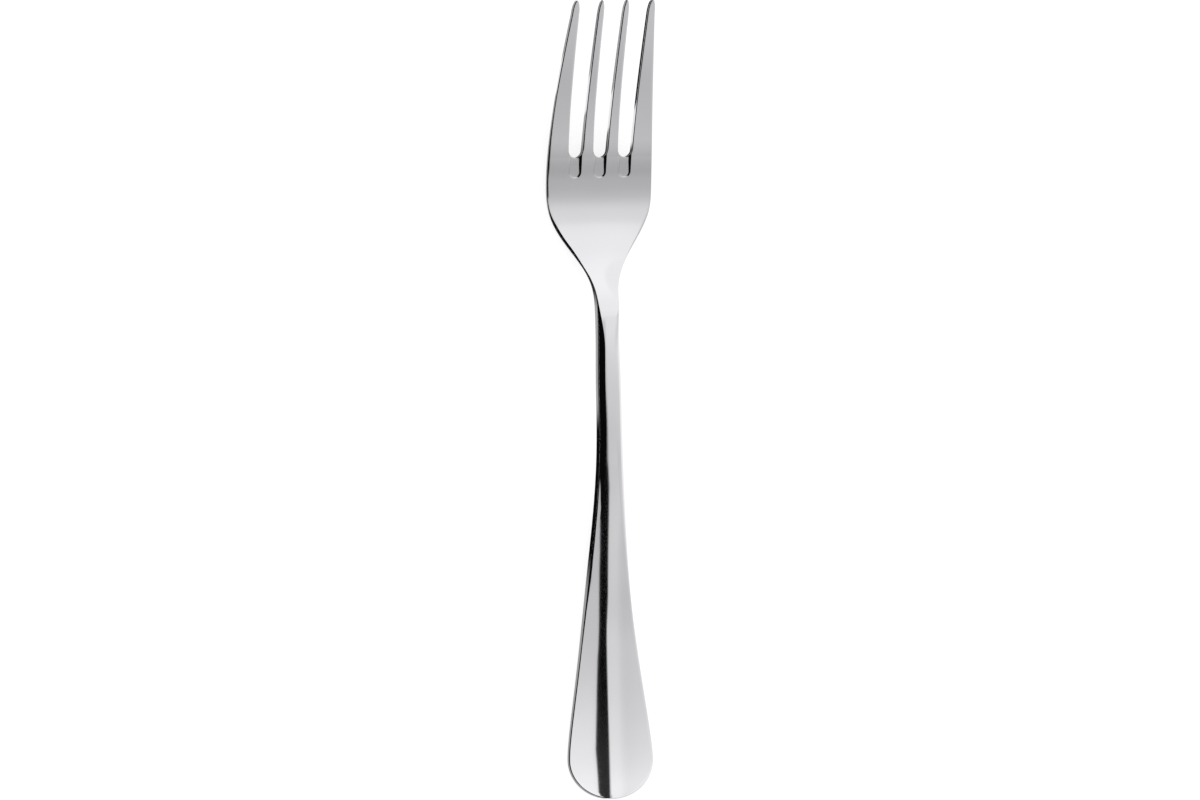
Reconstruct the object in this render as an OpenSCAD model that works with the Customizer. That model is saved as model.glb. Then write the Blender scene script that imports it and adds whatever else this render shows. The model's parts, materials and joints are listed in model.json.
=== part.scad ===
// Pastry fork, pressed from one blank of stainless steel and polished.
// It lies on its back. +Y runs from the end of the handle to the tips of the
// tines, +Z is up, and the origin is under the middle of the fork, on the table.
// The real fork is a single piece, so each part below is a stretch of that piece
// and meets the next one face to face.

/* [Overall] */
// Length from the end of the handle to the tips of the tines
fork_len = 150; // [144:1:170]

/* [Handle] */
// Greatest width of the handle, close to its end
handle_w = 16.45; // [12:0.05:19]
// Length of the round end, up to the greatest width
handle_end_len = 7.4; // [6:0.1:12]
// How far the handle keeps its greatest width before it draws in
flare_hold = 7.2; // [1:0.1:12]
// How gently the flare runs out into the stem
flare_run_out = 36; // [15:1:45]
// Thickness along the crest of the wide end
handle_t = 2.3; // [1.9:0.1:3]
// Slope of the two flanks beside the crest, in degrees
flank_angle = 9; // [4:0.5:11]
// Radius of the crest between the flanks
crest_r = 2.1; // [1:0.1:3]
// Length of the handle's back that lies flat on the table
flat_len = 27; // [15:1:40]

/* [Stem] */
// Length of the stem, from the end of the flare to the narrowest place
stem_len = 18.8; // [10:0.1:24]
// Width where the flare has become the stem
stem_w = 4.8; // [4:0.1:6]
// Width at the narrowest place, where the neck starts
waist_w = 4.35; // [3.6:0.05:6]
// Thickness of the stem
stem_t = 3.1; // [2.5:0.1:4]
// Radius of the stem's flatter crest
stem_crest_r = 3.2; // [1.5:0.1:5]
// Radius that the stem's sides are rolled to, front and back
stem_edge_r = 1.4; // [0.8:0.05:1.5]
// How far before the narrowest place the edges start to sharpen again
edge_lead = 9.3; // [0:0.1:14]
// Length over which they sharpen
edge_run = 13; // [6:0.5:18]
// Height of the stem's back above the table
arch_h = 3.9; // [2:0.1:6]

/* [Head] */
// Greatest width of the head
head_w = 20.4; // [18:0.1:24]
// Distance from the tips back to the greatest width
head_len = 33.2; // [31:0.2:38]
// Length over which the neck widens to the head
shoulder_len = 24; // [18:0.5:28]
// How full the shoulders are: 1 is an even curve, more is fuller
shoulder_fullness = 1.3; // [1:0.05:1.6]
// Distance from the tips back to the lowest place of the head
bowl_back = 40.6; // [37:0.1:44]
// Length over which the neck comes down from the stem
drop_len = 20; // [14:0.5:24]
// Thickness of the head
head_t = 1.6; // [1.5:0.1:2.4]
// Length over which the neck thins to the head, from the start of its drop
thin_len = 13.6; // [8:0.2:19]
// Level length at the bottom of the head, before the tines start to climb
bowl_floor = 3; // [0:0.5:6]
// Angle that the tines climb towards, in degrees
climb_angle = 32; // [20:1:40]
// Length over which that climb builds up
climb_ease = 14; // [12:1:30]
// Radius along the front's edges, and round the wide end of the handle
edge_r = 0.3; // [0.15:0.05:0.45]
// Radius along the back's edges of the head
back_edge_r = 1.1; // [0.3:0.05:1.2]

/* [Tines] */
// Length from the tips to the bottoms of the slots
tine_len = 29.3; // [24:0.1:30]
// Distance between the middles of neighbouring slots
tine_pitch = 4.8; // [4.4:0.1:5.2]
// Width of a slot at its round bottom
slot_root_w = 2.7; // [2:0.1:3]
// Width of a slot at the tips
slot_mouth_w = 3.7; // [3:0.1:3.8]
// Width over the two outer tines at the tips
tips_w = 15.6; // [14.5:0.1:17]
// Distance over which the head's sides stay nearly straight
side_hold = 9.5; // [4:0.5:12]
// Thickness at the tips
tip_t = 1.1; // [1:0.05:1.6]
// Length over which each tip rounds off
tip_len = 2.6; // [1:0.1:4]

/* [Polished grooves] */
// Length of the blind groove below each slot
groove_len = 4; // [3:0.1:5]
// Depth of the groove where it leaves the slot
groove_root_d = 0.2; // [0.1:0.05:0.6]
// Depth at its round lower end
groove_end_d = 0.1; // [0.05:0.05:0.4]

/* [Hidden] */

// Overrun of every cut past the face that it opens
overrun = 3;
// Step used to measure how steep the back is
slope_step = 0.05;

tine_count = 4;
steel = [0.78, 0.79, 0.80];
$fn = 48;

// How the slots open from their bottoms to the tips: quickly at first
slot_flare_share = 0.7;
// Part of its width that a tip keeps at its very end
tip_blunt_share = 0.28;
// Part of a narrow section's half width that its edge radii may use
edge_limit_share = 0.68;
// Where the shoulder is split between the neck and the palm
palm_start_share = 0.5;

// Stations along each stretch, and points across the front and round an edge
end_steps = 8;
flare_steps = 20;
stem_steps = 4;
neck_steps = 9;
palm_steps = 12;
tine_steps = 10;
tip_steps = 4;
crest_steps = 8;
sheet_steps = 2;
edge_steps = 2;

// Places along the fork, measured from the end of the handle. The handle
// narrows to the stem over whatever length the other stretches leave to it
head_y = fork_len - head_len;
waist_y = head_y - shoulder_len;
flare_end = waist_y - stem_len;
fade_y = max(flare_end, waist_y - edge_lead);
palm_y = waist_y + shoulder_len * palm_start_share;
bowl_y = fork_len - bowl_back;
drop_y = bowl_y - drop_len;
slot_y = fork_len - tine_len;
slot_root_r = slot_root_w / 2;
root_y = slot_y + slot_root_r;
tip_y = fork_len - tip_len;

function mix(a, b, s) = a + (b - a) * s;

// Runs from 0 to 1 with no slope or curvature at either end
function ease(s) = let (c = max(0, min(1, s))) pow(c, 3) * (c * (6 * c - 15) + 10);

// Part of the way from y0 to y1
function part_way(y, y0, y1) = (y - y0) / (y1 - y0);

// Height of the back above the table
function climb(u) = tan(climb_angle) * (u - climb_ease * (1 - exp(-u / climb_ease)));
function back_z(y) =
    arch_h * (ease(part_way(y, flat_len, flare_end)) - ease(part_way(y, drop_y, bowl_y)))
    + climb(max(0, y - bowl_y - bowl_floor));

// A sheet on a slope is taller when it is measured straight up
function upright(y) =
    let (rise = (back_z(y + slope_step) - back_z(y - slope_step)) / (2 * slope_step))
    sqrt(1 + rise * rise);

// A value of the handle, the stem and the head, blended along the fork
function along(y, handle_value, stem_value, head_value) = y < flare_end
    ? mix(handle_value, stem_value, ease(part_way(y, flat_len, flare_end)))
    : mix(stem_value, head_value, ease(part_way(y, waist_y, bowl_y)));

// Radius along an edge: the stem's sides are rounder than those of both ends
function edge_along(y, head_value) = y < flare_end
    ? mix(edge_r, stem_edge_r, ease(part_way(y, flat_len, flare_end)))
    : mix(stem_edge_r, head_value, ease(part_way(y, fade_y, fade_y + edge_run)));

// Thickness of the steel, which thins down the neck and along the tines
function steel_t(y) = y < drop_y
    ? along(y, handle_t, stem_t, stem_t)
    : mix(stem_t, head_t, ease(part_way(y, drop_y, drop_y + thin_len)))
        + (tip_t - head_t) * max(0, part_way(y, slot_y, fork_len));

// Height of the front above the back, at a distance x from the middle line
function front_h(x, y) =
    let (r = along(y, crest_r, stem_crest_r, stem_crest_r))
    let (slope = tan(along(y, flank_angle, flank_angle, 0)))
    steel_t(y) * upright(y) - slope * (sqrt(x * x + r * r) - r);

// Half widths of the outline
function bezier(a, b, c, d, s) =
    pow(1 - s, 3) * a + 3 * pow(1 - s, 2) * s * b + 3 * (1 - s) * s * s * c + pow(s, 3) * d;
function end_place(s) =
    [handle_w / 2 * sin(90 * s), handle_end_len * (1 - cos(90 * s))];
function flare_place(s) =
    [bezier(handle_w / 2, handle_w / 2, stem_w / 2, stem_w / 2, s),
     bezier(handle_end_len, handle_end_len + flare_hold, flare_end - flare_run_out, flare_end, s)];
function stem_half(y) = mix(stem_w, waist_w, ease(part_way(y, flare_end, waist_y))) / 2;
function shoulder_half(y) =
    let (s = 1 - pow(1 - ease(part_way(y, waist_y, head_y)), shoulder_fullness))
    mix(waist_w, head_w, s) / 2;
function blade_half(y) =
    let (bend = head_len - 2 * side_hold)
    let (s = (sqrt(side_hold * side_hold + bend * (y - head_y)) - side_hold) / bend)
    mix(head_w, tips_w, s * s) / 2;
function side_half(y) = y < head_y ? shoulder_half(y) : blade_half(y);

function slot_half(y) =
    let (s = max(0, part_way(y, root_y, fork_len)))
    mix(slot_root_w, slot_mouth_w, pow(s, slot_flare_share)) / 2;

// Left and right sides of tine number i, counted from 1 at the left
function tine_left(i, y) = i == 1 ? -side_half(y) : (i - 3) * tine_pitch + slot_half(y);
function tine_right(i, y) = i == tine_count ? side_half(y) : (i - 2) * tine_pitch - slot_half(y);

// One slice across the steel, from left to right at y, with its edges rounded
function edge_arc(x, z, r, from) =
    [for (k = [0 : edge_steps])
        let (a = from + 90 * k / edge_steps)
        [x + r * cos(a), z + r * sin(a)]];
function slice(y, left, right, front_steps) =
    let (room = steel_t(y) - edge_r)
    let (limit = edge_limit_share * (right - left) / 2)
    let (back_r = min(edge_along(y, min(back_edge_r, edge_limit_share * room)), limit))
    let (front_r = min(edge_along(y, edge_r), limit))
    let (xl = left + front_r)
    let (xr = right - front_r)
    let (outline = concat(
        edge_arc(xr, front_h(xr, y) - front_r, front_r, 0),
        [for (k = [1 : front_steps - 1])
            let (x = mix(xr, xl, k / front_steps))
            [x, front_h(x, y)]],
        edge_arc(xl, front_h(xl, y) - front_r, front_r, 90),
        edge_arc(left + back_r, back_r, back_r, 180),
        edge_arc(right - back_r, back_r, back_r, 270)))
    [for (p = outline) [p[0], y, p[1] + back_z(y)]];

// A solid through a row of slices
module loft(slices) {
    n = len(slices[0]);
    last = (len(slices) - 1) * n;
    sides = [for (i = [0 : len(slices) - 2])
        for (j = [0 : n - 1])
            let (a = i * n + j)
            let (b = i * n + (j + 1) % n)
            each [[a, b, b + n], [a, b + n, a + n]]];
    ends = [[for (j = [n - 1 : -1 : 0]) j], [for (j = [0 : n - 1]) last + j]];
    translate([0, -fork_len / 2, 0])
        polyhedron(points = [for (s = slices) each s], faces = concat(sides, ends));
}

// What the fork lies on, which keeps its resting face flat
module table() {
    translate([-head_w, -fork_len, -overrun]) cube([2 * head_w, 2 * fork_len, overrun]);
}

function steps_between(y0, y1, steps) = [for (k = [0 : steps]) mix(y0, y1, k / steps)];

// The wide end: two flanks that fall from a crest, and a flat back to rest on
module handle() {
    blunt = end_place(tip_blunt_share / end_steps);
    places = concat(
        [[blunt[0], 0]],
        [for (k = [1 : end_steps - 1]) end_place(k / end_steps)],
        [for (k = [0 : flare_steps]) flare_place(k / flare_steps)]);
    color(steel)
        difference() {
            loft([for (p = places) slice(p[1], -p[0], p[0], crest_steps)]);
            table();
        }
}

// The thick, narrow stretch that stands clear of the table
module stem() {
    color(steel)
        loft([for (y = steps_between(flare_end, waist_y, stem_steps))
            slice(y, -stem_half(y), stem_half(y), crest_steps)]);
}

// The stretch that comes down to the head and widens
module neck() {
    color(steel)
        loft([for (y = steps_between(waist_y, palm_y, neck_steps))
            slice(y, -side_half(y), side_half(y), crest_steps)]);
}

// One blind groove, whose floor rises from the slot's bottom to its round end
module groove() {
    y0 = slot_y - groove_len + slot_root_r;
    z0 = back_z(y0) + front_h(0, y0) - groove_end_d;
    z1 = back_z(root_y) + front_h(0, root_y) - groove_root_d;
    translate([0, y0, z0])
        rotate([atan2(z1 - z0, root_y - y0), 0, 0])
            linear_extrude(height = overrun) {
                circle(r = slot_root_r);
                translate([-slot_root_r, 0]) square([slot_root_w, root_y - y0 + overrun]);
            }
}

// The flat of the head, with the round bottoms of the slots
module palm() {
    color(steel)
        difference() {
            loft([for (y = steps_between(palm_y, root_y, palm_steps))
                slice(y, -side_half(y), side_half(y), crest_steps)]);
            translate([0, -fork_len / 2, 0])
                for (i = [-1 : 1])
                    translate([i * tine_pitch, 0, 0]) {
                        translate([0, root_y, -overrun])
                            cylinder(r = slot_root_r, h = back_z(root_y) + head_t + 3 * overrun);
                        groove();
                    }
        }
}

// One tine, which thins and draws in to its round tip
function tine_slice(i, y, keep) =
    let (middle = (tine_left(i, y) + tine_right(i, y)) / 2)
    let (half = keep * (tine_right(i, y) - tine_left(i, y)) / 2)
    slice(y, middle - half, middle + half, sheet_steps);
module tine(i) {
    body = [for (y = steps_between(root_y, tip_y, tine_steps)) tine_slice(i, y, 1)];
    tip = [for (k = [1 : tip_steps])
        let (a = 90 * k / tip_steps)
        tine_slice(i, mix(tip_y, fork_len, sin(a)), max(cos(a), tip_blunt_share))];
    color(steel) loft(concat(body, tip));
}

handle();
stem();
neck();
palm();
tine(1);  // tine_1
tine(2);  // tine_2
tine(3);  // tine_3
tine(4);  // tine_4
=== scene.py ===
import math

import bpy
import numpy as np
from mathutils import Matrix, Vector
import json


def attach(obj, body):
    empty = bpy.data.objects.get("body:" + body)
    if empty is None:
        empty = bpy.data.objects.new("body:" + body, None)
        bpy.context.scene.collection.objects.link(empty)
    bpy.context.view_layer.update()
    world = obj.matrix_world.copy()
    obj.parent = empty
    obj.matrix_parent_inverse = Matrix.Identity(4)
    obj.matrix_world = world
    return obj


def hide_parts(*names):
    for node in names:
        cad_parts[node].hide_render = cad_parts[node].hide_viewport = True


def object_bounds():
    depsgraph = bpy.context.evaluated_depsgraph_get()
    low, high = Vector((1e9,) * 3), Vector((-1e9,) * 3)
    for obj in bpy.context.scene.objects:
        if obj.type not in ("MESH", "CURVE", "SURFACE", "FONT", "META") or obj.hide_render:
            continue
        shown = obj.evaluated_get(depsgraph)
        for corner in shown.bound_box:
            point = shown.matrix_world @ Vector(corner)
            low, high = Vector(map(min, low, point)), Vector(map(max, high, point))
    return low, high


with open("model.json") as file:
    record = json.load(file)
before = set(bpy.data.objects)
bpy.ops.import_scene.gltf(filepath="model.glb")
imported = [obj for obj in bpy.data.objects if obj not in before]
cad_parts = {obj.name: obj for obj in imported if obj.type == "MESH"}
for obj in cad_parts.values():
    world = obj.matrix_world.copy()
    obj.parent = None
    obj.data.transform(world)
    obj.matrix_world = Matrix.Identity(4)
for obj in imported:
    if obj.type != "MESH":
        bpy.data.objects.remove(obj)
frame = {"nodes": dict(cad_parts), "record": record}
cadLow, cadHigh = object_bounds()
steelRecord = frame["record"]["materials"][0]

# The fork is worked out in mm along its length, from the end of the handle to
# the tips, and the finished mesh is put in the frame in metres.
forkPlan = {
    "forkLength": (cadHigh.y - cadLow.y) * 1000,
    "handleWidth": 16.45,
    "handleEndLength": 7.4,     # round end, up to the greatest width
    "flareHold": 7.2,           # how far the handle keeps that width
    "flareRunOut": 36.0,        # how gently the flare becomes the stem
    "stemLength": 18.8,
    "stemWidth": 4.8,
    "waistWidth": 4.35,         # narrowest place, where the neck starts
    "shoulderLength": 24.0,
    "shoulderFullness": 1.3,
    "headWidth": 20.4,
    "headLength": 33.2,         # from the tips back to the greatest width
    "tineLength": 29.3,
    "tinePitch": 4.8,
    "slotRootWidth": 2.7,
    "slotMouthWidth": 3.7,
    "slotFlareShare": 0.7,      # the slots open quickly at first
    "tipsWidth": 15.6,
    "sideHold": 9.5,            # how long the head's sides stay nearly straight
    "tipLength": 2.6,           # over which each tip rounds off
    "edgeRadius": 0.3,          # round the wide end of the handle
    "stemEdgeRadius": 1.4,
    "edgeHold": 9.0,            # the handle keeps sharp edges this far past its flat back
    "edgeLead": 9.3,            # they start to sharpen again this far before the waist
    "edgeRun": 13.0,            # and have sharpened over this length
    "headEdgeRadius": 0.15,
    "shoulderEdgeRadius": 0.45,     # the front edge is softer half way up the shoulders
    "shoulderEdgePlace": 11.5,  # this far back from the head's greatest width
    "shoulderEdgeHold": 1.0,    # it keeps that radius this far to both sides
    "shoulderEdgeRun": 6.5,     # and has the head's own again this far from there
    "headBackRadius": 1.05,
    "slotEdgeRadius": 0.15,
    "tipEdgeRadius": 0.22,
}

# How the press shapes the flat blank, and what the polisher's wheel leaves
forkPress = {
    "Flat back": 27.0,
    "Arch height": 3.9,
    "Drop length": 20.0,
    "Bowl place": 40.6,         # lowest place of the head, back from the tips
    "Bowl floor": 3.0,          # level length before the tines start to climb
    "Climb angle": 32.0,
    "Climb ease": 14.0,
    "Bowl softness": 4.0,       # how gently the climb begins
    "Handle thickness": 2.3,
    "Stem thickness": 3.1,
    "Head thickness": 1.6,
    "Tip thickness": 1.1,
    "Thinning length": 13.6,    # over which the neck thins to the head, from its drop on
    "Flank angle": 9.0,
    "Crest radius": 2.1,
    "Stem crest radius": 3.2,
    "Groove length": 4.0,
    "Groove half width": 1.3,
    "Groove wall": 0.42,
    "Groove depth": 0.1,
    "Groove end depth": 0.05,
}

forkMesh = {
    "endRows": 14,
    "flareRows": 112,
    "stemRows": 30,
    "neckRows": 44,
    "grooveZone": 8.0,          # rows lie close together over this length
    "grooveRows": 64,
    "tineRows": 56,
    "tipRows": 11,              # of them, so many lean into the round tip
    "tipLean": 0.8,
    "outerTineColumns": 9,
    "innerTineColumns": 6,
    "slotColumns": 24,
    "wallCrowding": 3.0,        # how much closer they lie at the walls of the grooves
    "wallReach": 0.2,
    "edgeSteps": 8,
}


def placesAlong():
    # Where each stretch of the fork ends, in mm from the end of the handle
    plan = forkPlan
    headPlace = plan["forkLength"] - plan["headLength"]
    waist = headPlace - plan["shoulderLength"]
    slotPlace = plan["forkLength"] - plan["tineLength"]
    return {
        "handleEnd": plan["handleEndLength"],
        "flareEnd": waist - plan["stemLength"],
        "waist": waist,
        "head": headPlace,
        "slot": slotPlace,
        "root": slotPlace + plan["slotRootWidth"] / 2,
        "tip": plan["forkLength"] - plan["tipLength"],
        "bowl": plan["forkLength"] - forkPress["Bowl place"],
        "drop": plan["forkLength"] - forkPress["Bowl place"] - forkPress["Drop length"],
    }


places = placesAlong()


def mix(start, end, share):
    return start + (end - start) * share


def ease(share):
    held = np.clip(share, 0, 1)
    return held**3 * (held * (6 * held - 15) + 10)


def partWay(y, start, end):
    return (y - start) / (end - start)


def flareOutline(rows):
    # The handle's long side, one curve from its widest place to the stem
    s = np.linspace(0, 1, rows + 1)
    weights = [(1 - s) ** 3, 3 * (1 - s) ** 2 * s, 3 * (1 - s) * s**2, s**3]
    halves = [forkPlan["handleWidth"] / 2] * 2 + [forkPlan["stemWidth"] / 2] * 2
    stops = [places["handleEnd"], places["handleEnd"] + forkPlan["flareHold"],
             places["flareEnd"] - forkPlan["flareRunOut"], places["flareEnd"]]
    return np.column_stack([sum(w * h for w, h in zip(weights, halves)),
                            sum(w * y for w, y in zip(weights, stops))])


def sideHalf(y):
    # Half the width from the stem to the tips
    plan = forkPlan
    narrowing = ease(partWay(y, places["flareEnd"], places["waist"]))
    stem = mix(plan["stemWidth"], plan["waistWidth"], narrowing)
    rise = ease(partWay(y, places["waist"], places["head"]))
    shoulder = mix(plan["waistWidth"], plan["headWidth"], 1 - (1 - rise) ** plan["shoulderFullness"])
    bend = plan["headLength"] - 2 * plan["sideHold"]
    under = plan["sideHold"] ** 2 + bend * np.maximum(y - places["head"], 0)
    taper = (np.sqrt(under) - plan["sideHold"]) / bend
    blade = mix(plan["headWidth"], plan["tipsWidth"], taper**2)
    return np.where(y < places["waist"], stem, np.where(y < places["head"], shoulder, blade)) / 2


def slotHalf(y):
    opened = np.maximum(partWay(y, places["root"], forkPlan["forkLength"]), 0)
    share = opened ** forkPlan["slotFlareShare"]
    return mix(forkPlan["slotRootWidth"], forkPlan["slotMouthWidth"], share) / 2


def edgeRadius(y, front, inSlot):
    # The stem's sides are rolled round, the head's back is softer than its
    # front, and most edges get finer towards the tips
    plan = forkPlan
    rolling = forkPress["Flat back"] + plan["edgeHold"]
    toStem = ease(partWay(y, rolling, places["flareEnd"] - plan["edgeHold"] / 2))
    sharpening = places["waist"] - plan["edgeLead"]
    toHead = ease(partWay(y, sharpening, sharpening + plan["edgeRun"]))
    toTip = ease(partWay(y, places["slot"], places["tip"]))
    softest = places["head"] - plan["shoulderEdgePlace"]
    soft = 1 - ease(partWay(np.abs(y - softest), plan["shoulderEdgeHold"], plan["shoulderEdgeRun"]))
    headFront = mix(plan["headEdgeRadius"], plan["shoulderEdgeRadius"], soft)
    head = np.where(inSlot, plan["slotEdgeRadius"], headFront if front else plan["headBackRadius"])
    body = mix(mix(plan["edgeRadius"], plan["stemEdgeRadius"], toStem), head, toHead)
    return mix(body, plan["tipEdgeRadius"], toTip)


def bodyRows():
    # The right side of the blank, from the widest place up to the slots
    close = places["root"] - forkMesh["grooveZone"]
    stem = np.linspace(places["flareEnd"], places["waist"], forkMesh["stemRows"] + 1)[1:]
    neck = np.linspace(places["waist"], close, forkMesh["neckRows"] + 1)[1:]
    groove = np.linspace(close, places["root"], forkMesh["grooveRows"] + 1)[1:]
    upper = np.concatenate([stem, neck, groove])
    return np.vstack([flareOutline(forkMesh["flareRows"]), np.column_stack([sideHalf(upper), upper])])


def stripEnds():
    # Columns of the tines and of the slots between them, from left to right
    counts = []
    for strip in range(7):
        if strip % 2:
            counts.append(forkMesh["slotColumns"])
        else:
            counts.append(forkMesh["outerTineColumns" if strip in (0, 6) else "innerTineColumns"])
    return np.concatenate([[0], np.cumsum(counts)])


def slotShares():
    # Columns across a slot crowd together at the walls of its polished groove
    rim = forkPlan["slotRootWidth"] / 2 + forkPlan["slotEdgeRadius"]
    wall = (forkPress["Groove half width"] - forkPress["Groove wall"] / 2) / rim
    fine = np.linspace(-1, 1, 401)
    near = np.exp(-((np.abs(fine) - wall) / forkMesh["wallReach"]) ** 2)
    crowding = 1 + forkMesh["wallCrowding"] * near
    run = np.concatenate([[0], np.cumsum(crowding[1:] + crowding[:-1])])
    return np.interp(np.linspace(0, run[-1], forkMesh["slotColumns"] + 1), run, fine)


def loopOutline():
    # The whole outline of the blank as one loop, counterclockwise seen from
    # above. Each stretch of it is one side of a block of the grid.
    columns = stripEnds()
    side = bodyRows()
    turn = np.linspace(-np.pi / 2, np.pi / 2, columns[-1] + 1)
    endArc = np.column_stack([forkPlan["handleWidth"] / 2 * np.sin(turn),
                              forkPlan["handleEndLength"] * (1 - np.cos(turn))])
    rows = mix(places["root"], places["tip"], np.linspace(0, 1, forkMesh["tineRows"] + 1))
    stretches = {"end": endArc, "right": side}
    for tine in range(4):
        slotLeft, slotRight = (tine - 2) * forkPlan["tinePitch"], (tine - 1) * forkPlan["tinePitch"]
        left = -sideHalf(rows) if tine == 0 else slotLeft + slotHalf(rows)
        right = sideHalf(rows) if tine == 3 else slotRight - slotHalf(rows)
        middle, half = (left[-1] + right[-1]) / 2, (right[-1] - left[-1]) / 2
        count = columns[2 * tine + 1] - columns[2 * tine]
        turn = np.linspace(-np.pi / 2, np.pi / 2, count + 1)
        stretches[f"wallLeft{tine}"] = np.column_stack([left, rows])
        stretches[f"wallRight{tine}"] = np.column_stack([right, rows])
        tipEdge = places["tip"] + forkPlan["tipLength"] * np.cos(turn)
        stretches[f"tip{tine}"] = np.column_stack([middle + half * np.sin(turn), tipEdge])
        if tine < 3:
            turn = slotShares() * np.pi / 2
            radius = forkPlan["slotRootWidth"] / 2
            stretches[f"root{tine}"] = np.column_stack([slotRight + radius * np.sin(turn),
                                                        places["root"] - radius * np.cos(turn)])
    stretches["left"] = side * [-1, 1]
    return stretches


def loopOrder():
    # The stretches in the order of the loop, and which of them run backwards
    order = [("end", 1), ("right", 1)]
    for tine in (3, 2, 1, 0):
        order += [(f"wallRight{tine}", 1), (f"tip{tine}", -1), (f"wallLeft{tine}", -1)]
        order += [(f"root{tine - 1}", -1)] if tine else [("left", -1)]
    return order


def joinLoop(stretches):
    # One closed row of points, and for each stretch where its points are in it
    loop, index = [], {}
    for name, way in loopOrder():
        points = stretches[name][::way]
        start = len(loop) - 1 if loop else 0
        loop.extend(points if not loop else points[1:])
        index[name] = np.arange(start, start + len(points))[::way]
    loop.pop()
    index["left"] = index["left"] % len(loop)
    return np.array(loop), index


def outwardNormals(loop):
    # Square to the outline, from the points on both sides of each point
    before, after = loop - np.roll(loop, 1, 0), np.roll(loop, -1, 0) - loop
    lengthBefore, lengthAfter = np.linalg.norm(before, axis=1), np.linalg.norm(after, axis=1)
    along = before / lengthBefore[:, None] ** 2 + after / lengthAfter[:, None] ** 2
    along /= np.linalg.norm(along, axis=1)[:, None]
    return np.column_stack([along[:, 1], -along[:, 0]])


class Sheet:
    # Points and faces of the blank, with how far each point drops at an edge

    def __init__(self):
        self.points, self.drops, self.fronts, self.faces = [], [], [], []

    def add(self, points, drops, front):
        start = sum(len(p) for p in self.points)
        self.points.append(np.asarray(points, float))
        self.drops.append(np.broadcast_to(drops, len(points)))
        self.fronts.append(np.full(len(points), float(front)))
        return np.arange(start, start + len(points))

    def quads(self, grid, flip):
        # Faces between the rows and columns of a grid of point numbers
        a, b, c, d = grid[:-1, :-1], grid[:-1, 1:], grid[1:, 1:], grid[1:, :-1]
        faces = np.stack([a, b, c, d], -1).reshape(-1, 4)
        self.faces.append(faces[:, ::-1] if flip else faces)


def spreadRow(start, end, shares):
    return start + (end - start) * shares[:, None]


def bodyShares(rim, index):
    # Where the columns lie across the palm, from -1 at the left to 1
    columns = stripEnds()
    half = rim[index["right"][-1], 0]
    slotRim = rim[index["root1"][-1], 0]
    shares = np.zeros(columns[-1] + 1)
    for strip in range(7):
        centre = (strip - 3) / 2 * forkPlan["tinePitch"]
        if strip % 2:
            inner = centre + slotRim * slotShares()
        else:
            left = -half if strip == 0 else centre - forkPlan["tinePitch"] / 2 + slotRim
            right = half if strip == 6 else centre + forkPlan["tinePitch"] / 2 - slotRim
            inner = np.linspace(left, right, columns[strip + 1] - columns[strip] + 1)
        shares[columns[strip]:columns[strip + 1] + 1] = inner / half
    return shares


def fillBody(sheet, rim, rimIds, index, front):
    # The grid inside the rim, from the round end of the handle to the slots
    columns, shares = stripEnds(), bodyShares(rim, index)
    right, left = rim[index["right"]], rim[index["left"]]
    rows, last = len(right), forkMesh["endRows"]
    grid = np.array([spreadRow(left[row], right[row], (shares + 1) / 2) for row in range(rows)])
    # The lowest rows bend into the round end
    arc, straight = rim[index["end"]], grid[last].copy()
    for row in range(last):
        bent = mix(arc, straight, partWay(right[row, 1], right[0, 1], right[last, 1]))
        grid[row] = bent * [right[row, 0] / bent[-1, 0], 1]
    # Above each groove the rows bend round the bottom of the slot
    first = rows - 1 - forkMesh["grooveRows"]
    for slot in range(3):
        a, b = columns[2 * slot + 1], columns[2 * slot + 2]
        arc, straight = rim[index[f"root{slot}"]], grid[first, a:b + 1].copy()
        for row in range(first, rows):
            grid[row, a:b + 1] = mix(straight, arc, (row - first) / (rows - 1 - first))
    numbers = np.zeros((rows, len(shares)), int)
    inside = np.ones((rows, len(shares)), bool)
    inside[0] = inside[:, 0] = inside[:, -1] = False
    numbers[0] = rimIds[index["end"]]
    numbers[:, 0], numbers[:, -1] = rimIds[index["left"]], rimIds[index["right"]]
    for slot in range(3):
        a, b = columns[2 * slot + 1], columns[2 * slot + 2]
        inside[-1, a:b + 1] = False
        numbers[-1, a:b + 1] = rimIds[index[f"root{slot}"]]
    numbers[inside] = sheet.add(grid[inside], 0.0, front)
    sheet.quads(numbers, not front)
    return numbers[-1]


def fillTine(sheet, tine, rim, rimIds, index, lowest, front):
    # The grid of one tine, whose upper rows bend into its round tip
    columns = stripEnds()
    a, b = columns[2 * tine], columns[2 * tine + 1]
    left, right, arc = (rim[index[f"{name}{tine}"]] for name in ("wallLeft", "wallRight", "tip"))
    rows, count = len(left), b - a + 1
    shares = np.linspace(0, 1, count)
    bend = forkMesh["tipRows"]
    numbers = np.zeros((rows + 1, count), int)
    numbers[0] = lowest[a:b + 1]
    numbers[:-1, 0] = rimIds[index[f"wallLeft{tine}"]]
    numbers[:-1, -1] = rimIds[index[f"wallRight{tine}"]]
    for row in range(1, rows):
        across = spreadRow(left[row], right[row], shares)
        lean = max(0, (row - (rows - 1 - bend)) / (bend + 1))
        across[:, 1] += lean * lean * (arc[:, 1] - left[-1][1]) * forkMesh["tipLean"]
        numbers[row, 1:-1] = sheet.add(across[1:-1], 0.0, front)
    numbers[-1] = rimIds[index[f"tip{tine}"]]
    sheet.quads(numbers, not front)


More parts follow.
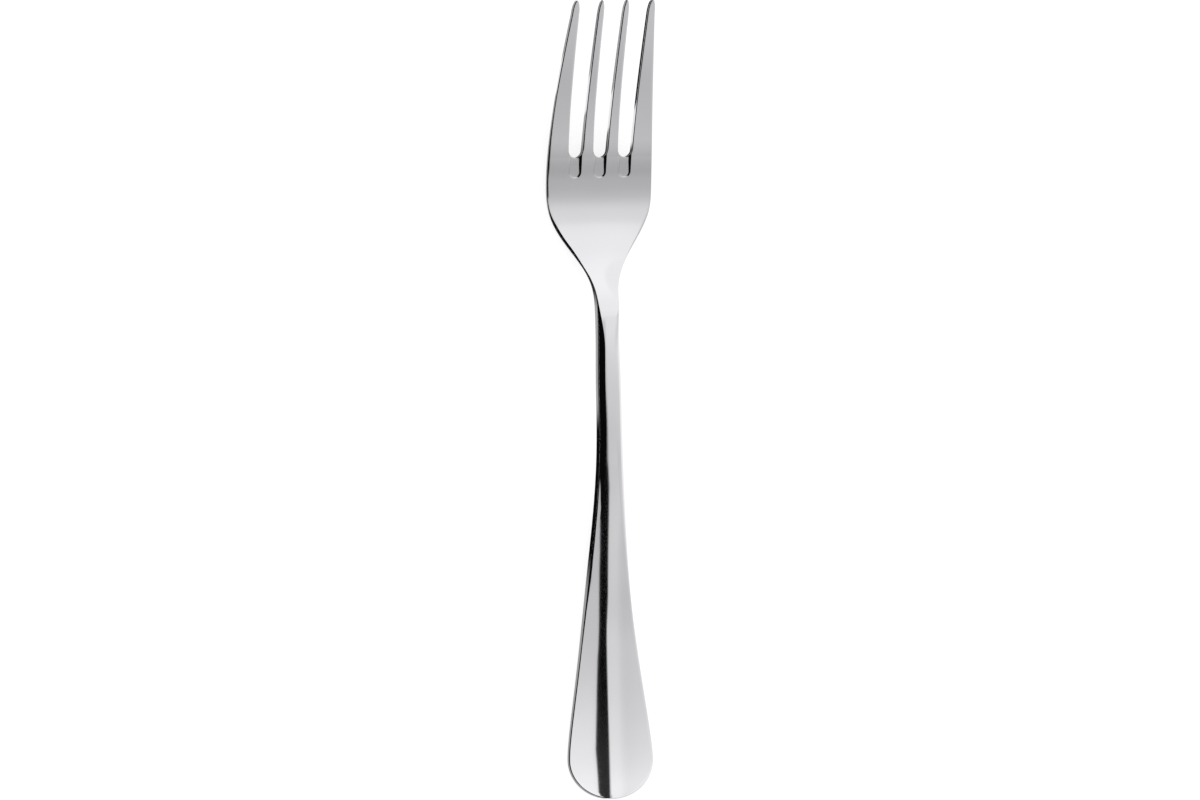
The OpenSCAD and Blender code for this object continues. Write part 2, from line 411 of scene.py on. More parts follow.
def stampBlank():
    # The flat blank: a front and a back with rounded edges, and the wall between
    loop, index = joinLoop(loopOutline())
    normals = outwardNormals(loop)
    inSlot = np.zeros(len(loop), bool)
    for slot in range(3):
        for name in (f"root{slot}", f"wallRight{slot}", f"wallLeft{slot + 1}"):
            inSlot[index[name]] = True
    sheet = Sheet()
    steps = forkMesh["edgeSteps"]
    walls = {}
    for front in (True, False):
        radius = edgeRadius(loop[:, 1], front, inSlot)
        rings = []
        for step in range(steps + 1):
            angle = np.pi / 2 * step / steps
            points = loop - normals * (radius * (1 - np.cos(angle)))[:, None]
            rings.append(sheet.add(points, radius * (1 - np.sin(angle)), front))
        rings = np.array([np.append(ring, ring[0]) for ring in rings])
        sheet.quads(rings, not front)
        rim = loop - normals * radius[:, None]
        rimIds = rings[-1][:-1]
        lowest = fillBody(sheet, rim, rimIds, index, front)
        for tine in range(4):
            fillTine(sheet, tine, rim, rimIds, index, lowest, front)
        walls[front] = rings[0]
    sheet.quads(np.array([walls[False], walls[True]]), False)
    return sheet


def makeBlankObject(sheet):
    mesh = bpy.data.meshes.new("forkBlank")
    points = np.vstack(sheet.points)
    flat = np.column_stack([points[:, 0], points[:, 1], np.zeros(len(points))])
    faces = np.vstack(sheet.faces)
    # A face that ends on a shared corner keeps only its different points
    kept = [list(dict.fromkeys(face)) for face in faces.tolist()]
    mesh.from_pydata(flat.tolist(), [], [face for face in kept if len(face) > 2])
    for name, values in (("edgeDrop", sheet.drops), ("isFront", sheet.fronts)):
        attribute = mesh.attributes.new(name, "FLOAT", "POINT")
        attribute.data.foreach_set("value", np.concatenate(values).astype(np.float32))
    mesh.update()
    blank = bpy.data.objects.new("forkBlank", mesh)
    bpy.context.scene.collection.objects.link(blank)
    return blank


blankSheet = stampBlank()
forkBlank = makeBlankObject(blankSheet)
print(f"Blank stamped: {len(forkBlank.data.vertices)} points, {len(forkBlank.data.polygons)} faces")


def newTree(name, sizes):
    # A geometry tree with one named input for each size
    tree = bpy.data.node_groups.new(name, "GeometryNodeTree")
    tree.interface.new_socket("Geometry", in_out="INPUT", socket_type="NodeSocketGeometry")
    tree.interface.new_socket("Geometry", in_out="OUTPUT", socket_type="NodeSocketGeometry")
    for size in sizes:
        tree.interface.new_socket(size, in_out="INPUT", socket_type="NodeSocketFloat")
    tree.interface.new_socket("Steel", in_out="INPUT", socket_type="NodeSocketMaterial")
    return tree


def feed(tree, socket, value):
    if isinstance(value, (int, float)):
        socket.default_value = value
    else:
        tree.links.new(value, socket)


def calc(tree, operation, *values):
    node = tree.nodes.new("ShaderNodeMath")
    node.operation = operation
    for socket, value in zip(node.inputs, values):
        feed(tree, socket, value)
    return node.outputs[0]


def blend(tree, value, start, end, low, high, kind="SMOOTHERSTEP"):
    # Runs from low to high while the value runs from start to end
    node = tree.nodes.new("ShaderNodeMapRange")
    node.interpolation_type = kind
    node.clamp = True
    for socket, given in zip(node.inputs, (value, start, end, low, high)):
        feed(tree, socket, given)
    return node.outputs[0]


def readAttribute(tree, name):
    node = tree.nodes.new("GeometryNodeInputNamedAttribute")
    node.data_type = "FLOAT"
    node.inputs["Name"].default_value = name
    return node.outputs["Attribute"]


def backHeight(tree, y, size):
    # The back rises from the table to the stem, comes down to the bowl of the
    # head and then climbs to the tips
    rise = blend(tree, y, size["Flat back"], size["Flare end"], 0.0, size["Arch height"])
    fall = blend(tree, y, size["Drop place"], size["Bowl place"], 0.0, size["Arch height"])
    past = calc(tree, "SUBTRACT", calc(tree, "SUBTRACT", y, size["Bowl place"]), size["Bowl floor"])
    softness = calc(tree, "MULTIPLY", size["Bowl softness"], size["Bowl softness"])
    spread = calc(tree, "MULTIPLY_ADD", past, past, softness)
    past = calc(tree, "MULTIPLY", calc(tree, "ADD", past, calc(tree, "SQRT", spread)), 0.5)
    decay = calc(tree, "MULTIPLY", calc(tree, "DIVIDE", past, size["Climb ease"]), -1.0)
    held = calc(tree, "SUBTRACT", 1.0, calc(tree, "EXPONENT", decay))
    held = calc(tree, "MULTIPLY", size["Climb ease"], held)
    climb = calc(tree, "MULTIPLY", size["Climb slope"], calc(tree, "SUBTRACT", past, held))
    return calc(tree, "ADD", calc(tree, "SUBTRACT", rise, fall), climb)


def alongFork(tree, y, size, handle, stem, head, reach=("Waist place", "Bowl place")):
    # A value of the handle, the stem and the head, blended along the fork
    toStem = blend(tree, y, size["Flat back"], size["Flare end"], handle, stem)
    change = calc(tree, "SUBTRACT", head, stem)
    toHead = blend(tree, y, size[reach[0]], size[reach[1]], 0.0, change)
    return calc(tree, "ADD", toStem, toHead)


def frontHeight(tree, x, y, size):
    # The steel's thickness on its slope, less the fall of the flanks
    step = 0.05
    ahead = backHeight(tree, calc(tree, "ADD", y, step), size)
    behind = backHeight(tree, calc(tree, "SUBTRACT", y, step), size)
    slope = calc(tree, "DIVIDE", calc(tree, "SUBTRACT", ahead, behind), 2 * step)
    upright = calc(tree, "SQRT", calc(tree, "MULTIPLY_ADD", slope, slope, 1.0))
    sheet = alongFork(tree, y, size, size["Handle thickness"], size["Stem thickness"],
                      size["Head thickness"], ("Drop place", "Thinned place"))
    thinning = calc(tree, "SUBTRACT", size["Tip thickness"], size["Head thickness"])
    thinned = blend(tree, y, size["Slot place"], size["Fork length"], 0.0, thinning, "LINEAR")
    steel = calc(tree, "MULTIPLY", calc(tree, "ADD", sheet, thinned), upright)
    crest = alongFork(tree, y, size, size["Crest radius"], size["Stem crest radius"],
                      size["Stem crest radius"])
    flank = alongFork(tree, y, size, size["Flank angle"], size["Flank angle"], 0.0)
    crestSquare = calc(tree, "MULTIPLY", crest, crest)
    across = calc(tree, "SQRT", calc(tree, "MULTIPLY_ADD", x, x, crestSquare))
    fall = calc(tree, "MULTIPLY", calc(tree, "TANGENT", flank), calc(tree, "SUBTRACT", across, crest))
    return calc(tree, "SUBTRACT", steel, fall)


def grooveDepth(tree, x, y, size):
    # The same blind groove below every slot: the place across the head is
    # wrapped to one slot's pitch
    halfPitch = calc(tree, "MULTIPLY", size["Tine pitch"], 0.5)
    wrapped = calc(tree, "WRAP", x, halfPitch, calc(tree, "MULTIPLY", halfPitch, -1.0))
    reach = calc(tree, "MULTIPLY", size["Tine pitch"], 1.5)
    hasSlot = calc(tree, "LESS_THAN", calc(tree, "ABSOLUTE", x), reach)
    roundPlace = calc(tree, "ADD", calc(tree, "SUBTRACT", size["Slot place"], size["Groove length"]),
                      size["Groove half width"])
    below = calc(tree, "MINIMUM", calc(tree, "SUBTRACT", y, roundPlace), 0.0)
    away = calc(tree, "MULTIPLY_ADD", wrapped, wrapped, calc(tree, "MULTIPLY", below, below))
    away = calc(tree, "SQRT", away)
    foot = calc(tree, "SUBTRACT", size["Groove half width"], size["Groove wall"])
    depth = blend(tree, y, roundPlace, size["Slot place"],
                  size["Groove end depth"], size["Groove depth"])
    hollow = blend(tree, away, foot, size["Groove half width"], depth, 0.0, "SMOOTHSTEP")
    return calc(tree, "MULTIPLY", hollow, hasSlot)


def buildPressTree(sizes):
    # Presses the flat blank: every point gets its height from its place
    tree = newTree("pressFork", sizes)
    given = tree.nodes.new("NodeGroupInput")
    size = {name: given.outputs[name] for name in sizes}
    apart = tree.nodes.new("ShaderNodeSeparateXYZ")
    tree.links.new(tree.nodes.new("GeometryNodeInputPosition").outputs[0], apart.inputs[0])
    x, y = apart.outputs["X"], apart.outputs["Y"]
    isFront, drop = readAttribute(tree, "isFront"), readAttribute(tree, "edgeDrop")
    front = calc(tree, "SUBTRACT", frontHeight(tree, x, y, size), grooveDepth(tree, x, y, size))
    rolled = calc(tree, "MULTIPLY", drop, calc(tree, "MULTIPLY_ADD", isFront, -2.0, 1.0))
    face = calc(tree, "MULTIPLY_ADD", front, isFront, backHeight(tree, y, size))
    lift = tree.nodes.new("ShaderNodeCombineXYZ")
    tree.links.new(calc(tree, "ADD", face, rolled), lift.inputs["Z"])
    place = tree.nodes.new("GeometryNodeSetPosition")
    tree.links.new(given.outputs["Geometry"], place.inputs["Geometry"])
    tree.links.new(lift.outputs[0], place.inputs["Offset"])
    realized = tree.nodes.new("GeometryNodeRealizeInstances")
    tree.links.new(place.outputs[0], realized.inputs[0])
    painted = tree.nodes.new("GeometryNodeSetMaterial")
    tree.links.new(realized.outputs[0], painted.inputs["Geometry"])
    tree.links.new(given.outputs["Steel"], painted.inputs["Material"])
    tree.links.new(painted.outputs[0], tree.nodes.new("NodeGroupOutput").inputs[0])
    return tree


def pressSizes():
    # The tree takes places along the fork and a slope where the maker gives these
    turned = ("Drop length", "Thinning length", "Climb angle")
    sizes = {name: value for name, value in forkPress.items() if name not in turned}
    sizes["Flank angle"] = math.radians(forkPress["Flank angle"])
    sizes["Climb slope"] = math.tan(math.radians(forkPress["Climb angle"]))
    sizes["Fork length"] = forkPlan["forkLength"]
    sizes["Tine pitch"] = forkPlan["tinePitch"]
    sizes["Flare end"], sizes["Waist place"] = places["flareEnd"], places["waist"]
    sizes["Bowl place"], sizes["Drop place"] = places["bowl"], places["drop"]
    sizes["Thinned place"] = places["drop"] + forkPress["Thinning length"]
    sizes["Slot place"] = places["slot"]
    return sizes


steelFinish = {
    "roughness": 0.06,
    "roughnessSpread": 0.03,
    "shade": 0.93,              # the darker of the two tones of the polish
    "lineScale": 900.0,         # polishing lines, per metre across the fork
    "lineStretch": 0.02,        # how long they run beside their width
    "lineHeight": 0.0000015,
    "waveScale": 90.0,          # slow unevenness that the wheel leaves
    "waveHeight": 0.000004,
}


def polishedSteel():
    material = bpy.data.materials.new("polishedSteel")
    material.use_nodes = True
    nodes, links = material.node_tree.nodes, material.node_tree.links
    shader = nodes["Principled BSDF"]
    shader.inputs["Metallic"].default_value = 1.0
    spot = nodes.new("ShaderNodeTexCoord")
    stretch = nodes.new("ShaderNodeMapping")
    stretch.inputs["Scale"].default_value = (1.0, steelFinish["lineStretch"], 1.0)
    links.new(spot.outputs["Object"], stretch.inputs["Vector"])

    def noise(vector, scale, detail):
        node = nodes.new("ShaderNodeTexNoise")
        node.inputs["Scale"].default_value = scale
        node.inputs["Detail"].default_value = detail
        links.new(vector, node.inputs["Vector"])
        return node.outputs["Fac"]

    lines = noise(stretch.outputs["Vector"], steelFinish["lineScale"], 3.0)
    waves = noise(spot.outputs["Object"], steelFinish["waveScale"], 1.0)
    gloss = nodes.new("ShaderNodeMapRange")
    gloss.inputs["To Min"].default_value = steelFinish["roughness"]
    gloss.inputs["To Max"].default_value = steelFinish["roughness"] + steelFinish["roughnessSpread"]
    links.new(lines, gloss.inputs["Value"])
    links.new(gloss.outputs["Result"], shader.inputs["Roughness"])
    tone = nodes.new("ShaderNodeMix")
    tone.data_type = "RGBA"
    bright = steelRecord["base_color"]
    tone.inputs["A"].default_value = (*[c * steelFinish["shade"] for c in bright], 1)
    tone.inputs["B"].default_value = (*bright, 1)
    links.new(waves, tone.inputs["Factor"])
    links.new(tone.outputs["Result"], shader.inputs["Base Color"])
    bumps = []
    for height, source in ((steelFinish["waveHeight"], waves), (steelFinish["lineHeight"], lines)):
        bump = nodes.new("ShaderNodeBump")
        bump.inputs["Distance"].default_value = height
        links.new(source, bump.inputs["Height"])
        if bumps:
            links.new(bumps[-1].outputs["Normal"], bump.inputs["Normal"])
        bumps.append(bump)
    links.new(bumps[-1].outputs["Normal"], shader.inputs["Normal"])
    return material


def pressFork(blank, material):
    sizes = pressSizes()
    tree = buildPressTree(sizes)
    press = blank.modifiers.new("press", "NODES")
    press.node_group = tree
    for item in tree.interface.items_tree:
        if item.name in sizes:
            press[item.identifier] = sizes[item.name]
        elif item.name == "Steel":
            press[item.identifier] = material
    bpy.context.view_layer.update()
    graph = bpy.context.evaluated_depsgraph_get()
    mesh = bpy.data.meshes.new_from_object(blank.evaluated_get(graph))
    mesh.name = "pastryFork"
    fork = bpy.data.objects.new("pastryFork", mesh)
    bpy.context.scene.collection.objects.link(fork)
    bpy.data.objects.remove(blank)
    for name in ("edgeDrop", "isFront"):
        mesh.attributes.remove(mesh.attributes[name])
    middle = Matrix.Translation((0, -forkPlan["forkLength"] / 2000, 0))
    mesh.transform(middle @ Matrix.Scale(0.001, 4))
    mesh.shade_smooth()
    return fork


pastryFork = pressFork(forkBlank, polishedSteel())
print("Fork pressed to shape")

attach(pastryFork, "root")
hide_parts(*frame["nodes"])
print("Fork set in the frame")

studio = {
    "cameraLean": 15.0,         # the camera stands this far to the fork's left
    "pictureRoll": 1.29,
    "cameraDistance": 4.0,
    "pixelsPerMetre": 5317.0,
    "pictureWidth": 1200,
    "sensorWidth": 36.0,
    "lookRight": -0.00051,
    "lookUp": 0.00007,
    "lookHeight": 0.001,
    "floorSize": 8.0,
    "floorColour": 0.3,
    "floorGlow": 0.8,
    "plainLight": 1.0,
}


def placeCamera():
    lean = math.radians(studio["cameraLean"])
    right, up = Vector((math.cos(lean), 0, math.sin(lean))), Vector((0, 1, 0))
    back = right.cross(up)
    turned = Matrix.Rotation(math.radians(-studio["pictureRoll"]), 3, back)
    target = Vector((0, 0, studio["lookHeight"]))
    target += right * studio["lookRight"] + up * studio["lookUp"]
    camera = bpy.data.objects.new("camera", bpy.data.cameras.new("camera"))
    bpy.context.scene.collection.objects.link(camera)
    camera.data.sensor_width = studio["sensorWidth"]
    framed = studio["pictureWidth"] / studio["pixelsPerMetre"]
    camera.data.lens = studio["sensorWidth"] * studio["cameraDistance"] / framed
    camera.data.clip_start, camera.data.clip_end = 0.1, 20.0
    axes = Matrix((turned @ right, turned @ up, back)).transposed()
    camera.matrix_world = Matrix.Translation(target + back * studio["cameraDistance"]) @ axes.to_4x4()
    bpy.context.scene.camera = camera


def placeFloor():
    half = studio["floorSize"] / 2
    mesh = bpy.data.meshes.new("floor")
    corners = [(-half, -half, 0), (half, -half, 0), (half, half, 0), (-half, half, 0)]
    mesh.from_pydata(corners, [], [(0, 1, 2, 3)])
    floor = bpy.data.objects.new("floor", mesh)
    bpy.context.scene.collection.objects.link(floor)
    material = bpy.data.materials.new("paleFloor")
    material.use_nodes = True
    nodes, links = material.node_tree.nodes, material.node_tree.links
    nodes.clear()
    matte, glow = nodes.new("ShaderNodeBsdfDiffuse"), nodes.new("ShaderNodeEmission")
    matte.inputs["Color"].default_value = (*[studio["floorColour"]] * 3, 1)
    glow.inputs["Strength"].default_value = studio["floorGlow"]
    path, seen = nodes.new("ShaderNodeLightPath"), nodes.new("ShaderNodeMath")
    seen.operation = "ADD"
    links.new(path.outputs["Is Camera Ray"], seen.inputs[0])
    links.new(path.outputs["Is Glossy Ray"], seen.inputs[1])
    links.new(seen.outputs[0], glow.inputs["Color"])
    both, out = nodes.new("ShaderNodeAddShader"), nodes.new("ShaderNodeOutputMaterial")
    links.new(matte.outputs[0], both.inputs[0])
    links.new(glow.outputs[0], both.inputs[1])
    links.new(both.outputs[0], out.inputs["Surface"])
    mesh.materials.append(material)


# What the steel mirrors, in mm above and along the table. Two lit cloths hang
# over the fork and one lies beside it, and everything past them is light on the
# right and dark on the left. Only reflections see them, so they light nothing
# else. Each place has its level below it.
# The seven runs of levels and starts weren't planned as lights. They were worked
# out from the photograph's greys, the canopy, flank and sheer levels by a
# least-squares fit and the others from chosen rows, and some were then changed.
mirrored = {
    "canopyHeight": 300.0,      # far and wide, on the right
    "canopyReach": (-1500, 1500, -2500, 2500),
    "canopyStart": 53.0,
    "canopySoft": 8.0,
    "canopyShift": 15.0,        # how much farther right it starts beside the handle
    "shiftFrom": -102.0,
    "shiftTo": -60.0,
    "canopyNeck": -30.0,        # and how much farther left beside the neck
    "neckFrom": -2.0,
    "neckTo": 8.0,
    "canopyPlaces": [-900, -600, -420, -300, -230, -170, -140, -120, -100, -85, -70, -55,
                     -40, -20, 0, 13, 30, 50, 80, 120, 200, 320, 500, 900],
    "canopyLevels": [1.15, 0.88, 0.71, 0.59, 0.63, 0.67, 0.60, 0.54, 0.51, 0.50, 0.53, 0.56,
                     0.565, 0.59, 0.64, 0.71, 0.90, 1.03, 1.06, 1.08, 1.09, 1.15, 1.20, 1.32],
    "seamPlace": 145.0,         # past this seam it is another piece, over the flanks
    "seamWidth": 24.0,
    "flankPlaces": [-220, -170, -140, -120, -100, -85, -70, -55, -40, -20, 0, 20, 50, 100],
    "flankLevels": [0.74, 0.63, 0.56, 0.52, 0.49, 0.50, 0.50, 0.53, 0.58, 0.61, 0.65, 0.72,
                    0.87, 1.10],
    "foldPlace": 178.0,         # a fold in it, as a slightly darker stripe over the handle
    "foldWidth": 22.0,
    "foldShade": 0.09,
    "foldFrom": -45.0,
    "foldTo": -20.0,
    "lowHeight": 25.0,          # a narrow one close over the handle and the stem
    "lowLeft": -62.0,
    "lowRight": 120.0,
    "lowPlaces": [-90, -75, -71.4, -67.7, -60, -52.6, -45.4, -40.6, -36, -30, -25, -22, -20],
    "lowLevels": [1.20, 1.15, 1.10, 1.02, 0.92, 0.80, 0.71, 0.68, 0.64, 0.62, 0.60, 0.50, 0.0],
    "leftPlaces": [-45, -42, -40, -38, -34, -30, -25, -22],
    "leftStarts": [21.0, 6.0, 3.6, 4.2, 14.0, 29.0, 42.0, 60.0],    # its light starts so far left
    "leftSoft": 1.0,
    "bandPlaces": [-80, -75, -71, -66, -60, -55, -49, -46, -44, -40, -36, -30, -27, -25, -22,
                   -20],
    "bandStarts": [2.4, 2.55, 2.75, 3.2, 2.8, 2.5, 2.0, 1.45, 1.1, 0.65, 0.4, 0.45, 3.0, 9.0,
                   19.0, 28.0],     # and ends at the dark band, so far left
    "bandSoft": 0.25,
    "bandGlow": 0.03,           # what it leaves in the dark band at the very end
    "bandGlowLeft": -21.0,
    "bandGlowSoft": 1.0,
    "bandGlowFrom": -76.0,
    "bandGlowTo": -50.0,
    "sheerPlaces": [-84, -78, -73, -69, -65, -61, -57, -53, -49, -46, -43, -40, -37, -33, -29,
                    -25, -20, -14, -6, 2, 8, 13, 14.6, 17, 30],
    "sheerLevels": [0.53, 0.57, 0.60, 0.50, 0.43, 0.39, 0.35, 0.32, 0.29, 0.28, 0.26, 0.23,
                    0.18, 0.18, 0.20, 0.23, 0.24, 0.20, 0.14, 0.13, 0.17, 0.235, 0.215, 0.0,
                    0.0],           # right of the band it is lit again, and sheer
    "edgePlaces": [-60, -49, -46, -44, -42, -38, -34, -30, -25, -20, -16, -10, 0],
    "edgeStarts": [3.2, 3.0, 3.1, 3.8, 5.2, 5.2, 5.0, 4.4, 3.7, 3.3, 3.4, 3.2, 2.8],
    "sheerSoft": 0.6,
    "groundHeight": 0.05,       # a dark cloth under the fork's left side
    "groundReach": (-400, 10, -90, 90),
    "groundWhite": 1.1,
    "groundDark": 0.004,
    "groundRight": (40.5, 44.5, -1.0, 7.0),     # its right side, from the body to the tines
    "windowWidth": 3.6,         # a light gap across it, that the tines' sides see
    "windowPlace": 54.6,
    "windowSlant": 0.62,
    "betweenTines": 0.42,
    "besideHead": 0.42,
    "headLeft": (24.0, 40.0, -3.0, -8.0),       # how the head's light place goes left
    "besideShoulder": 0.03,
    "besideNeck": 0.5,
    "besideHandle": 0.42,
    "farRight": 0.85,
    "farLeft": 0.003,
    "farTurn": 0.3,             # the room is fully light past this X of a direction
}

# Where the lighter places on the ground cloth begin and end. A pair is a place
# and how soft the change is there, and a single number only how soft.
groundSides = {
    "clothSoft": 1.0,
    "tinesFrom": (47.0, 4.0),
    "windowSoft": 2.0,
    "betweenLeft": (-7.0, 2.0),
    "betweenRight": (0.5, 1.5),
    "shoulderFrom": (18.0, 3.0),
    "shoulderTo": (35.5, 3.0),
    "headFrom": (20.0, 4.0),
    "headSoft": 1.0,
    "neckFrom": (-3.0, 6.0),
    "neckTo": (19.0, 4.0),
    "neckLeft": (-20.0, 25.0),
    "handleTo": (-33.0, 10.0),
    "handleLeft": (-13.0, 2.0),
}


def glowTree(name):
    # An empty material tree, with the place on its object across and along in mm
    material = bpy.data.materials.new(name)
    material.use_nodes = True
    tree = material.node_tree
    tree.nodes.clear()
    apart = tree.nodes.new("ShaderNodeSeparateXYZ")
    tree.links.new(tree.nodes.new("ShaderNodeTexCoord").outputs["Object"], apart.inputs[0])
    x, y = (calc(tree, "MULTIPLY", apart.outputs[axis], 1000.0) for axis in ("X", "Y"))
    return material, tree, x, y


def levelsAlong(tree, y, stops, levels):
    # A smooth run of levels along the fork
    spread = tree.nodes.new("ShaderNodeValToRGB")
    ramp = spread.color_ramp
    low, high = stops[0], stops[-1]
    for number, (stop, level) in enumerate(zip(stops, levels)):
        place = (stop - low) / (high - low)
        mark = ramp.elements[number] if number < 2 else ramp.elements.new(place)
        mark.position = place
        mark.color = (level, level, level, 1)
    tree.links.new(blend(tree, y, low, high, 0.0, 1.0, "LINEAR"), spread.inputs["Fac"])
    return spread.outputs["Color"]


def rising(tree, value, place, soft):
    return blend(tree, value, place - soft / 2, place + soft / 2, 0.0, 1.0, "SMOOTHSTEP")


def falling(tree, value, place, soft):
    return blend(tree, value, place - soft / 2, place + soft / 2, 1.0, 0.0, "SMOOTHSTEP")


def hangCloth(name, height, reach, material):
    # A level cloth that only mirrored rays see
    left, right, near, far = reach
    mesh = bpy.data.meshes.new(name)
    corners = [(left, near), (right, near), (right, far), (left, far)]
    mesh.from_pydata([(x / 1000, y / 1000, height / 1000) for x, y in corners], [], [(3, 2, 1, 0)])
    mesh.materials.append(material)
    cloth = bpy.data.objects.new(name, mesh)
    bpy.context.scene.collection.objects.link(cloth)
    cloth.visible_camera = cloth.visible_diffuse = cloth.visible_transmission = False
    cloth.visible_volume_scatter = cloth.visible_shadow = False


def glowShader(material, tree, level, sheer):
    nodes, links = tree.nodes, tree.links
    glow, out = nodes.new("ShaderNodeEmission"), nodes.new("ShaderNodeOutputMaterial")
    links.new(level, glow.inputs["Strength"])
    shader = glow.outputs[0]
    if sheer:
        both = nodes.new("ShaderNodeAddShader")
        links.new(nodes.new("ShaderNodeBsdfTransparent").outputs[0], both.inputs[0])
        links.new(shader, both.inputs[1])
        shader = both.outputs[0]
    links.new(shader, out.inputs["Surface"])
    return material


def groundLevel(tree, x, y):
    # Dark to the left of the fork, with lighter places that only its sides see.
    # Each place lies between a rising and a falling side.
    given, side = mirrored, groundSides

    def times(*values):
        product = values[0]
        for value in values[1:]:
            product = calc(tree, "MULTIPLY", product, value)
        return product

    rightSide = blend(tree, y, *given["groundRight"])
    inside = falling(tree, calc(tree, "SUBTRACT", x, rightSide), 0.0, side["clothSoft"])
    atTines = rising(tree, y, *side["tinesFrom"])
    slanted = calc(tree, "ADD", y, calc(tree, "MULTIPLY", x, given["windowSlant"]))
    aside = calc(tree, "ABSOLUTE", calc(tree, "SUBTRACT", slanted, given["windowPlace"]))
    window = times(atTines, falling(tree, aside, given["windowWidth"], side["windowSoft"]))
    between = times(atTines, rising(tree, x, *side["betweenLeft"]),
                    falling(tree, x, *side["betweenRight"]), given["betweenTines"])
    shoulder = times(rising(tree, y, *side["shoulderFrom"]), falling(tree, y, *side["shoulderTo"]))
    outside = calc(tree, "SUBTRACT", x, blend(tree, y, *given["headLeft"]))
    beside = blend(tree, shoulder, 0.0, 1.0, given["besideHead"], given["besideShoulder"], "LINEAR")
    head = times(rising(tree, y, *side["headFrom"]), falling(tree, outside, 0.0, side["headSoft"]),
                 beside)
    neck = times(rising(tree, y, *side["neckFrom"]), falling(tree, y, *side["neckTo"]),
                 rising(tree, x, *side["neckLeft"]), given["besideNeck"])
    handle = times(falling(tree, y, *side["handleTo"]), rising(tree, x, *side["handleLeft"]),
                   given["besideHandle"])
    lighter = window
    for level in (between, head, neck, handle):
        lighter = calc(tree, "MAXIMUM", lighter, level)
    shade = calc(tree, "MAXIMUM", lighter, given["groundDark"])
    change = calc(tree, "SUBTRACT", shade, given["groundWhite"])
    return calc(tree, "MULTIPLY_ADD", inside, change, given["groundWhite"])


def hangCanopy():
    given = mirrored
    material, tree, x, y = glowTree("canopyGlow")
    inner = levelsAlong(tree, y, given["canopyPlaces"], given["canopyLevels"])
    outer = levelsAlong(tree, y, given["flankPlaces"], given["flankLevels"])
    past = rising(tree, x, given["seamPlace"], given["seamWidth"])
    level = calc(tree, "MULTIPLY_ADD", past, calc(tree, "SUBTRACT", outer, inner), inner)
    start = blend(tree, y, given["shiftFrom"], given["shiftTo"], given["canopyShift"], 0.0, "LINEAR")
    atNeck = blend(tree, y, given["neckFrom"], given["neckTo"], 0.0, given["canopyNeck"])
    start = calc(tree, "ADD", start, atNeck)
    fromStart = calc(tree, "SUBTRACT", x, start)
    inside = rising(tree, fromStart, given["canopyStart"], given["canopySoft"])
    level = calc(tree, "MULTIPLY", level, inside)
    fold = calc(tree, "DIVIDE", calc(tree, "SUBTRACT", x, given["foldPlace"]), given["foldWidth"])
    fold = calc(tree, "EXPONENT", calc(tree, "MULTIPLY", calc(tree, "MULTIPLY", fold, fold), -1.0))
    shade = blend(tree, y, given["foldFrom"], given["foldTo"], given["foldShade"], 0.0)
    level = calc(tree, "SUBTRACT", level, calc(tree, "MULTIPLY", fold, shade))
    level = calc(tree, "ADD", level, given["farLeft"])
    hangCloth("canopy", given["canopyHeight"], given["canopyReach"],
              glowShader(material, tree, level, False))


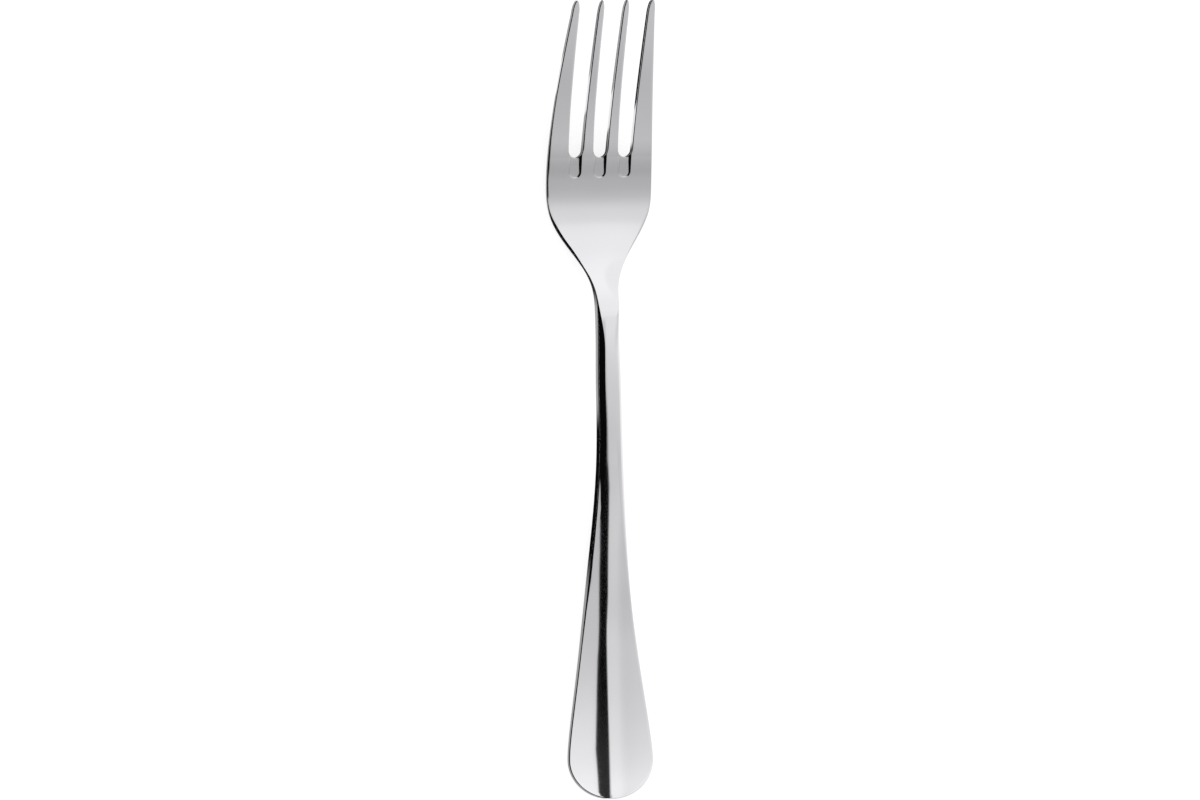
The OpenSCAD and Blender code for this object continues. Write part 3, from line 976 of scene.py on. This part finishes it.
def hangLowCloth():
    given = mirrored
    material, tree, x, y = glowTree("lowGlow")
    level = levelsAlong(tree, y, given["lowPlaces"], given["lowLevels"])
    fromLeft = calc(tree, "ADD", x, levelsAlong(tree, y, given["leftPlaces"], given["leftStarts"]))
    level = calc(tree, "MULTIPLY", level, rising(tree, fromLeft, 0.0, given["leftSoft"]))
    fromBand = calc(tree, "ADD", x, levelsAlong(tree, y, given["bandPlaces"], given["bandStarts"]))
    level = calc(tree, "MULTIPLY", level, falling(tree, fromBand, 0.0, given["bandSoft"]))
    glow = blend(tree, y, given["bandGlowFrom"], given["bandGlowTo"], given["bandGlow"], 0.0)
    fromGlow = rising(tree, x, given["bandGlowLeft"], given["bandGlowSoft"])
    glow = calc(tree, "MULTIPLY", fromGlow, glow)
    level = calc(tree, "ADD", level, glow)
    sheer = levelsAlong(tree, y, given["sheerPlaces"], given["sheerLevels"])
    edge = levelsAlong(tree, y, given["edgePlaces"], given["edgeStarts"])
    inSheer = rising(tree, calc(tree, "SUBTRACT", x, edge), 0.0, given["sheerSoft"])
    level = calc(tree, "MULTIPLY_ADD", sheer, inSheer, level)
    reach = (given["lowLeft"], given["lowRight"], given["lowPlaces"][0], given["sheerPlaces"][-1])
    hangCloth("lowCloth", given["lowHeight"], reach, glowShader(material, tree, level, True))


def hangClothes():
    hangCanopy()
    hangLowCloth()
    material, tree, x, y = glowTree("groundGlow")
    hangCloth("groundCloth", mirrored["groundHeight"], mirrored["groundReach"],
              glowShader(material, tree, groundLevel(tree, x, y), False))


def lightStudio():
    # Plain light all round for the floor, and for reflections the far room
    world = bpy.data.worlds.new("studio")
    bpy.context.scene.world = world
    world.use_nodes = True
    tree = world.node_tree
    nodes, links = tree.nodes, tree.links
    nodes.clear()
    apart = nodes.new("ShaderNodeSeparateXYZ")
    links.new(nodes.new("ShaderNodeTexCoord").outputs["Generated"], apart.inputs[0])
    x, y, z = apart.outputs
    room = blend(tree, x, 0.0, mirrored["farTurn"], mirrored["farLeft"], mirrored["farRight"],
                 "SMOOTHSTEP")
    room = calc(tree, "MAXIMUM", room, calc(tree, "LESS_THAN", z, 0.0))
    path = nodes.new("ShaderNodeLightPath")
    plain = calc(tree, "MULTIPLY_ADD", path.outputs["Is Camera Ray"], 1 - studio["plainLight"],
                 studio["plainLight"])
    shown = nodes.new("ShaderNodeMix")
    shown.data_type = "FLOAT"
    links.new(path.outputs["Is Glossy Ray"], shown.inputs["Factor"])
    links.new(plain, shown.inputs["A"])
    links.new(room, shown.inputs["B"])
    light, out = nodes.new("ShaderNodeBackground"), nodes.new("ShaderNodeOutputWorld")
    links.new(shown.outputs["Result"], light.inputs["Color"])
    links.new(light.outputs[0], out.inputs["Surface"])
    # The light is met by chance and not aimed at, so the mirrored dark stays dark
    world.cycles.sampling_method = "NONE"


placeCamera()
placeFloor()
hangClothes()
lightStudio()
bpy.context.scene.view_settings.view_transform = "Standard"
print("Studio set up")
